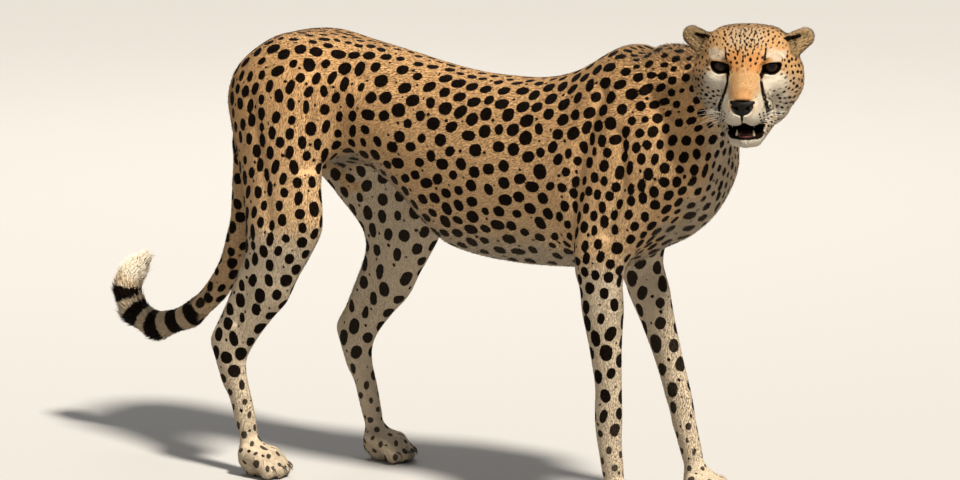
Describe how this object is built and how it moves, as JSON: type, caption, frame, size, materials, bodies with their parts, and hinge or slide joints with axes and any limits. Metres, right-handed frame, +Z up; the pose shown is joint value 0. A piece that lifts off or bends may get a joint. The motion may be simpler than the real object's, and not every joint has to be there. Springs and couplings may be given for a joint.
{
  "type": "cheetah",
  "caption": "Standing cheetah at life size as a still model, head turned to its right with the mouth a little open, one hind leg and one foreleg set forward, tail end curled up.",
  "frame": {"origin": "on the floor under the middle of the whole animal's box, between the paws", "axes": "+X forward along the body from tail to chest, +Y to the animal's left, +Z up from the floor"},
  "size_m": [1.4162, 0.3418, 0.8297],
  "materials": {
    "coat_gold": "short flat fur, tawny gold with solid black spots, softening to cream below",
    "coat_pale": "short pale fur of the paws, chin and tail end",
    "ear": "short fur, pale inside and grey-black behind",
    "eye": "dark amber, wet and clear",
    "nose": "black, pebbled and moist",
    "tongue": "moist pink, finely rough",
    "claw": "dark polished horn"
  },
  "bodies": {
    "root": {"pelvis": "coat_gold", "loin": "coat_gold", "chest": "coat_gold", "neck": "coat_gold", "foreleg_upper_right": "coat_gold", "foreleg_lower_right": "coat_gold", "claw_fore_right_1": "claw", "claw_fore_right_2": "claw", "claw_fore_right_3": "claw", "claw_fore_right_4": "claw", "forepaw_right": "coat_pale", "thigh_right": "coat_gold", "shank_right": "coat_gold", "claw_hind_right_1": "claw", "claw_hind_right_2": "claw", "claw_hind_right_3": "claw", "claw_hind_right_4": "claw", "hind_paw_right": "coat_pale", "foreleg_upper_left": "coat_gold", "foreleg_lower_left": "coat_gold", "claw_fore_left_1": "claw", "claw_fore_left_2": "claw", "claw_fore_left_3": "claw", "claw_fore_left_4": "claw", "forepaw_left": "coat_pale", "thigh_left": "coat_gold", "shank_left": "coat_gold", "claw_hind_left_1": "claw", "claw_hind_left_2": "claw", "claw_hind_left_3": "claw", "claw_hind_left_4": "claw", "hind_paw_left": "coat_pale", "tail_base": "coat_gold", "tail_middle": "coat_gold", "tail_tip": "coat_pale", "eye_left": "eye", "ear_left": "ear", "eye_right": "eye", "ear_right": "ear", "nose": "nose", "head": "coat_gold", "jaw": "coat_pale", "tongue": "tongue"}
  },
  "joints": []
}
